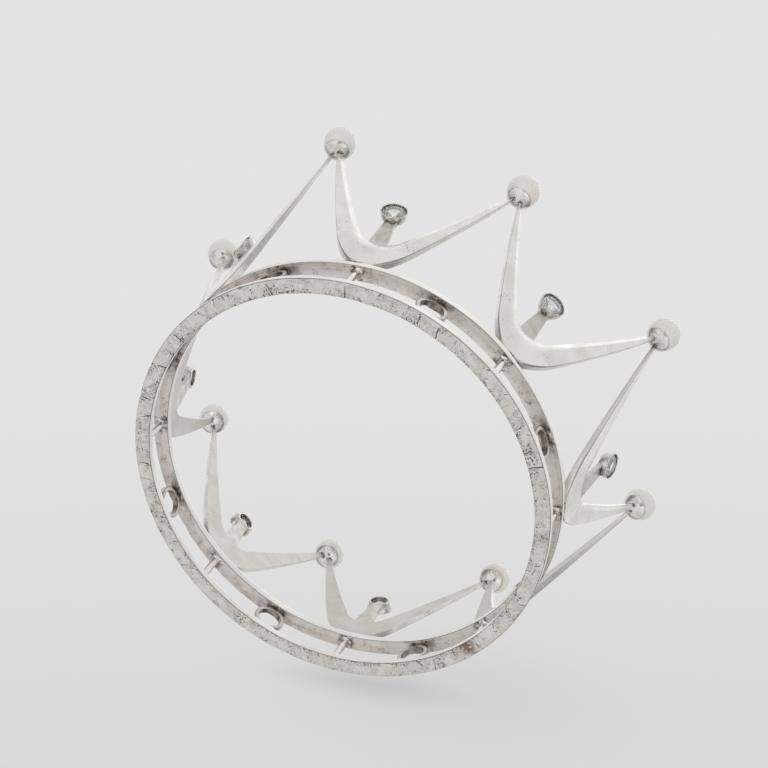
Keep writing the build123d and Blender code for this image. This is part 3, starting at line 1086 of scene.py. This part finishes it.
def pearl_cup(i):
    """Thin polished cap with a rounded rim, and the solder that holds the two points to it."""
    centre, matrix = pearl_centre(i), cup_axes(i)
    turned_in = matrix.to_3x3().transposed()
    rim = 180 - CUP_RIM_ANGLE
    profile = []
    for k in range(CUP_STEPS + 1):
        a = math.radians(rim + (180 - rim) * k / CUP_STEPS)
        profile.append((CUP_R * math.sin(a), CUP_R * math.cos(a)))
    bore = PEARL_R + CUP_CLEAR
    inside = [(r * bore / CUP_R, h * bore / CUP_R) for r, h in reversed(profile)]
    a = math.radians(rim - LIP_TURN)
    lip = [((PEARL_R + beyond) * math.sin(a), (PEARL_R + beyond) * math.cos(a)) for beyond in LIP]
    ring = [*profile[:-1], (0.02, -CUP_R), (0.02, inside[0][1]), *inside[1:], *lip]

    def change(radius, height, turn):
        return radius, height + wave(around(radius, height, turn), 1.8, 0.03, i + 11.0)

    shape = Shape()
    shape.lathe(ring, CUP_SEGMENTS, change)
    rng = random.Random(40 + i)
    for gable_index, side in ((i, 1), (i + 1, -1)):
        base, across, up, out, left, right, height = gable_axes(gable_index % UNITS)
        reach = right if side > 0 else left
        tip_x, tip_y = scaled(SOLDER_TIP, reach, height)
        for turn in (-SOLDER_PITCH, 0.0, SOLDER_PITCH):
            aside = turn + rng.uniform(-0.15, 0.15)
            deep = rng.uniform(0.0, 0.9)
            size = rng.uniform(0.22, 0.38)
            tip = base + across * (tip_x + aside) + up * tip_y + out * deep
            toward = turned_in @ (tip - centre).normalized()
            shape.lump(toward * (CUP_R - 0.04), size, 0.5, rng.uniform(0, 9), up=toward)
    name = f"pearl_cup_{i + 1}"
    piece = shape.place(name + "_soldered", CUP, matrix)
    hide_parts(name)


def pearl(i):
    """Slightly uneven ball."""
    shape = Shape()
    shape.loft([
        [d * (PEARL_R - PEARL_INSET + wave(d, 0.9, 0.035, i + 1.5)) for d in directions]
        for directions in ball_rows(48, 64)
    ])
    name = f"pearl_{i + 1}"
    nacre = GLUED_PEARL if i == GLUED_UNIT else PEARL
    piece = shape.place(name + "_ball", nacre, cup_axes(i))
    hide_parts(name)


hoop("lower_hoop", 0.0, WORN, 11)
hoop("upper_hoop", HOOP_THICK + HOOP_GAP, TARNISHED, 23)
posts()
for unit in range(UNITS):
    eyelet(unit)
    gable(unit)
    stem(unit)
    collet(unit)
    stone(unit)
    pearl_cup(unit)
    pearl(unit)
# The hidden pegs keep their CAD meshes
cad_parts["pearl_pegs"].data.materials.clear()
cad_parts["pearl_pegs"].data.materials.append(POST)


# -------- studio

def studio_world():
    """Light tent: pale and even, brighter from one side, with a few soft darker areas to reflect."""
    world = bpy.data.worlds.new("studio")
    bpy.context.scene.world = world
    world.use_nodes = True
    tree = world.node_tree
    tree.nodes.clear()
    t = Tree(tree)
    way = t.node("TexCoord").outputs["Generated"]
    overhead = t.vector("DOT_PRODUCT", way, tuple(-TABLE_NORMAL))
    upward = t.parts(way)[2]
    light = t.ramp(overhead, -0.9, 0.9, 0.76, 0.84)
    light = t.plus(light, t.ramp(upward, 0.72, 0.95, 0.0, 0.24))
    uneven = t.ramp(t.noise(way, 0.55, 2.0, 0.5), 0.35, 0.65, 0.86, 1.06)
    light = t.times(light, uneven)
    for spot, rim, core, level in (
        ((-0.46, -0.30, -0.83), 0.972, 1.002, 0.12),
        ((0.75, -0.55, 0.10), 0.80, 0.97, 0.62),
        ((-0.35, 0.9, 0.05), 0.82, 0.97, 0.62),
    ):
        near = t.vector("DOT_PRODUCT", way, tuple(Vector(spot).normalized()))
        light = t.times(light, t.ramp(near, rim, core, 1.0, level))
    level = t.math("ABSOLUTE", t.minus(upward, 0.03))
    light = t.times(light, t.ramp(level, 0.10, 0.32, 0.50, 1.0))
    glow = t.node("Background", {"Color": t.grey(light)})
    shown = t.node("Background", {"Color": t.grey(t.ramp(overhead, -0.50, -0.25, 0.687, 0.770))})
    camera_ray = t.node("LightPath").outputs["Is Camera Ray"]
    both = t.node("MixShader", {0: camera_ray, 1: glow.outputs[0], 2: shown.outputs[0]})
    t.node("OutputWorld", {"Surface": both.outputs[0]})


# Middle of the crown, in metres, at which the lamps are aimed
LAMP_AIM = Vector((0, 0, 0.025))


def soft_light(name, place, size, power):
    data = bpy.data.lights.new(name, "AREA")
    data.shape = "DISK"
    data.size = size
    data.energy = power
    lamp = new_object(name, data)
    lamp.location = place
    lamp.rotation_mode = "QUATERNION"
    lamp.rotation_quaternion = (LAMP_AIM - Vector(place)).to_track_quat("-Z", "Y")
    lamp.visible_camera = False


def disc(name, radius, matrix, made):
    """Thin floor disc, with no part in the object."""
    mesh = bpy.data.meshes.new(name)
    b = bmesh.new()
    bmesh.ops.create_circle(b, cap_ends=True, segments=96, radius=radius)
    b.to_mesh(mesh)
    b.free()
    mesh.materials.append(made)
    piece = new_object(name, mesh)
    piece.matrix_world = matrix


def stage_material(name):
    """(material, its Tree with no nodes yet)"""
    made = bpy.data.materials.new(name)
    made.use_nodes = True
    made.node_tree.nodes.clear()
    return made, Tree(made.node_tree)


def seen_from_front(t):
    """1 for the camera's own rays that meet the front side."""
    front = t.minus(1.0, t.node("NewGeometry").outputs["Backfacing"])
    return t.both(front, t.node("LightPath").outputs["Is Camera Ray"])


def floor_material():
    """Pale paper, seen from above only, that fades into the backdrop far out."""
    made, t = stage_material("floor_paper")
    where = t.node("TexCoord").outputs["Object"]
    far = t.fall(t.vector("LENGTH", where), 0.16, 0.62)
    grain = t.noise(where, 0.004, 3.0)
    colour = t.mix(t.ramp(grain, 0.3, 0.7), (0.80, 0.80, 0.80, 1), (0.82, 0.82, 0.815, 1))
    paper = t.node("BsdfDiffuse", {"Color": colour})
    clear = t.node("BsdfTransparent")
    seen = t.both(far, seen_from_front(t))
    both = t.node("MixShader", {0: seen, 1: clear.outputs[0], 2: paper.outputs[0]})
    t.node("OutputMaterial", {"Surface": both.outputs[0]})
    return made


def shadow_material():
    """Soft shade on the table under the leaning crown, seen from the crown's side only."""
    made, t = stage_material("table_shade")
    where = t.local()
    darks = []
    for shift, squash, reach, dark in (
        ((-4.0, 21.0, 0.0), (1.5, 1.0, 0.0), 60.0, 0.075),
        ((0.0, 4.0, 0.0), (1.0, 0.35, 0.0), 11.0, 0.15),
    ):
        away = t.vector("MULTIPLY", t.vector("ADD", where, shift), squash)
        darks.append(t.ramp(t.vector("LENGTH", away), 0.0, reach, dark, 0.0))
    shade = t.minus(1.0, t.both(seen_from_front(t), t.plus(*darks)))
    clear = t.node("BsdfTransparent", {"Color": t.grey(shade)})
    t.node("OutputMaterial", {"Surface": clear.outputs[0]})
    return made


def table_matrix():
    """Axes of the tilted table, its origin beside the lower hoop: X up the crown, Z toward the crown."""
    z = -TABLE_NORMAL
    x = (Vector((0, 0, 1)) - z * z.z).normalized()
    touch = Vector((TABLE_NORMAL.x, TABLE_NORMAL.y, 0)).normalized() * HOOP_R * MM
    place = touch + TABLE_NORMAL * (TABLE_AT - TABLE_NORMAL.dot(touch))
    return axes_at(place, x, z.cross(x), z, 1.0)


studio_world()
disc("floor", 0.75, Matrix.Translation((0, 0, -0.0001)), floor_material())
disc("table_shade", 0.07, table_matrix(), shadow_material())
soft_light("key", (-0.55, 0.06, -0.10), 0.45, 0.14)
soft_light("front_fill", (-0.10, -0.45, -0.40), 0.40, 0.07)
soft_light("top", (0.12, -0.15, 0.75), 0.55, 0.12)
soft_light("side", (0.50, -0.35, 0.35), 0.35, 0.06)


# The photograph's viewpoint: 36 mm sensor, place in metres, and the picture's right and up
CAMERA_LENS = 91.87
CAMERA_PLACE = Vector((-0.22278, -0.13869, -0.35122))
CAMERA_RIGHT = Vector((-0.03475, -0.93257, 0.35931))
CAMERA_UP = Vector((-0.8862, 0.19495, 0.42029))


def main_camera():
    data = bpy.data.cameras.new("camera")
    data.sensor_width = 36.0
    data.lens = CAMERA_LENS
    data.clip_start = 0.01
    data.clip_end = 20.0
    camera = new_object("camera", data)
    back = CAMERA_RIGHT.cross(CAMERA_UP)
    camera.matrix_world = axes_at(CAMERA_PLACE, CAMERA_RIGHT, CAMERA_UP, back, 1.0)
    bpy.context.scene.camera = camera


main_camera()
bpy.context.scene.view_settings.view_transform = "Standard"
